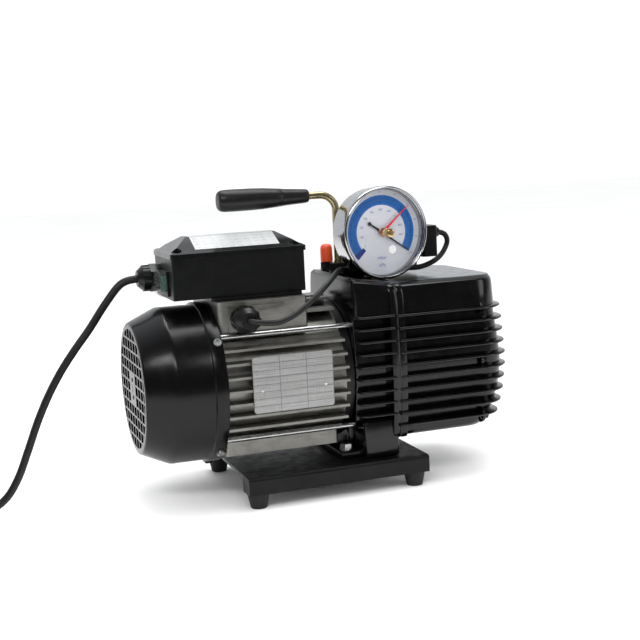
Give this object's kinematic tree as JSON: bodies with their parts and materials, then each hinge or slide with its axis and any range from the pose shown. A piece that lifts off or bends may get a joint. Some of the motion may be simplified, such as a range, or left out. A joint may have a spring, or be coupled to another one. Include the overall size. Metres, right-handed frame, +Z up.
{
  "type": "rotary vane vacuum pump",
  "caption": "Portable rotary vane vacuum pump with a finned motor, oil reservoir, dial gauge, solenoid valve, carrying handle and mains cord.",
  "frame": {"origin": "on the floor under the middle of the pump's length and width, the cord left out", "axes": "+X along the motor's shaft from the fan cover to the oil reservoir, -Y towards the nameplate and the gauge's reader, +Z up"},
  "size_m": [0.6469, 0.1572, 0.2689],
  "materials": {
    "black_sheet": "black powder coat",
    "foot_rubber": "matt",
    "zinc_steel": "zinc plated",
    "bare_aluminium": "extruded, dull",
    "black_casting": "satin black paint",
    "cover_plastic": "gloss black",
    "bright_steel": "ground",
    "laminations": "stamped sheet",
    "copper_wire": "varnished copper",
    "plate_metal": "printed plate, blank",
    "fan_plastic": "moulded",
    "box_plastic": "fine texture",
    "switch_green": "gloss green",
    "boot_clear": "clear soft plastic",
    "contact_brass": "bright",
    "cord_rubber": "matt black sheath",
    "cast_iron_grey": "machined",
    "gasket_fibre": "pressed fibre",
    "sight_window": "clear",
    "valve_bronze": "dull bronze",
    "gauge_steel": "polished",
    "gauge_glass": "clear",
    "dial_white": "white with a blue band",
    "pointer_black": "black",
    "pointer_red": "red",
    "cap_orange": "orange",
    "port_bronze": "dark, oily",
    "yellow_zinc": "yellow zinc",
    "grip_rubber": "smooth grip",
    "carbon_vane": "resin composite"
  },
  "bodies": {
    "pump_unit": {"base_plate": "black_sheet", "rubber_feet": "foot_rubber", "base_screws": "zinc_steel", "motor_housing": "bare_aluminium", "fan_shield": "black_casting", "drive_shield": "black_casting", "fan_cover": "cover_plastic", "fan_cover_screws": "zinc_steel", "tie_rods": "bright_steel", "stator_core": "laminations", "stator_windings": "copper_wire", "nameplate": "plate_metal", "nameplate_rivets": "zinc_steel", "bearing_outer_rings": "bright_steel", "box_adaptor": "box_plastic", "terminal_box": "box_plastic", "terminal_box_lid": "box_plastic", "lid_screws": "zinc_steel", "switch_body": "box_plastic", "switch_boot": "boot_clear", "cord_gland": "box_plastic", "power_cord": "cord_rubber", "power_cord_coil": "cord_rubber", "power_plug": "box_plastic", "valve_gland": "box_plastic", "valve_cable": "cord_rubber", "pump_body": "black_casting", "flange_gasket": "gasket_fibre", "oil_reservoir": "black_casting", "reservoir_screws": "zinc_steel", "sight_glass": "sight_window", "drain_plug": "contact_brass", "intake_port": "port_bronze", "valve_block": "valve_bronze", "solenoid_coil": "box_plastic", "din_connector": "box_plastic", "gauge_case": "gauge_steel", "gauge_bezel": "gauge_steel", "gauge_lens": "gauge_glass", "gauge_dial": "dial_white", "handle_rod": "yellow_zinc", "handle_grip": "grip_rubber", "handle_nut": "black_sheet", "pump_cylinders": "cast_iron_grey", "pump_end_plates": "cast_iron_grey"},
    "rotor": {"motor_shaft": "bright_steel", "rotor_core": "laminations", "cooling_fan": "fan_plastic", "bearing_inner_rings": "bright_steel", "pump_rotor": "bright_steel"},
    "ball_cages": {"bearing_balls": "bright_steel"},
    "vane_1a_body": {"vane_1a": "carbon_vane"},
    "vane_1b_body": {"vane_1b": "carbon_vane"},
    "vane_2a_body": {"vane_2a": "carbon_vane"},
    "vane_2b_body": {"vane_2b": "carbon_vane"},
    "rocker": {"switch_rocker": "switch_green"},
    "intake_cap_body": {"intake_cap": "cap_orange"},
    "exhaust_cap_body": {"exhaust_cap": "box_plastic"},
    "pointer": {"gauge_pointer": "pointer_black"},
    "set_pointer": {"setting_pointer": "pointer_red"}
  },
  "joints": [
    {"name": "shaft_spin", "type": "hinge", "parent": "pump_unit", "child": "rotor", "pos_m": [0, 0, 0.1015], "axis": [1, 0, 0], "continuous": true},
    {"name": "cage_spin", "type": "hinge", "parent": "pump_unit", "child": "ball_cages", "pos_m": [0, 0, 0.1015], "axis": [1, 0, 0], "continuous": true},
    {"name": "vane_1a_slide", "type": "slide", "parent": "rotor", "child": "vane_1a_body", "axis": [0, 1, 0], "range_m": [0, 0.003]},
    {"name": "vane_1b_slide", "type": "slide", "parent": "rotor", "child": "vane_1b_body", "axis": [0, -1, 0], "range_m": [0, 0.003]},
    {"name": "vane_2a_slide", "type": "slide", "parent": "rotor", "child": "vane_2a_body", "axis": [0, 1, 0], "range_m": [0, 0.003]},
    {"name": "vane_2b_slide", "type": "slide", "parent": "rotor", "child": "vane_2b_body", "axis": [0, -1, 0], "range_m": [0, 0.003]},
    {"name": "rocker_tilt", "type": "hinge", "parent": "pump_unit", "child": "rocker", "pos_m": [-0.1323, -0.006, 0.192], "axis": [0, 0, 1], "range_deg": [0, 18]},
    {"name": "intake_cap_lift", "type": "slide", "parent": "pump_unit", "child": "intake_cap_body", "axis": [0, 0, 1], "range_m": [0, 0.025]},
    {"name": "exhaust_cap_lift", "type": "slide", "parent": "pump_unit", "child": "exhaust_cap_body", "axis": [0, 0, 1], "range_m": [0, 0.02]},
    {"name": "pointer_turn", "type": "hinge", "parent": "pump_unit", "child": "pointer", "pos_m": [0.0596, -0.034, 0.2237], "axis": [0.0872, -0.9962, 0], "range_deg": [-8, 250], "stiffness_Nm_per_rad": 0.002},
    {"name": "set_pointer_turn", "type": "hinge", "parent": "pump_unit", "child": "set_pointer", "pos_m": [0.0596, -0.034, 0.2237], "axis": [0.0872, -0.9962, 0], "range_deg": [-80, 180]}
  ],
  "couplings": [
    {"joint": "cage_spin", "follows": "shaft_spin", "ratio": 0.396}
  ]
}
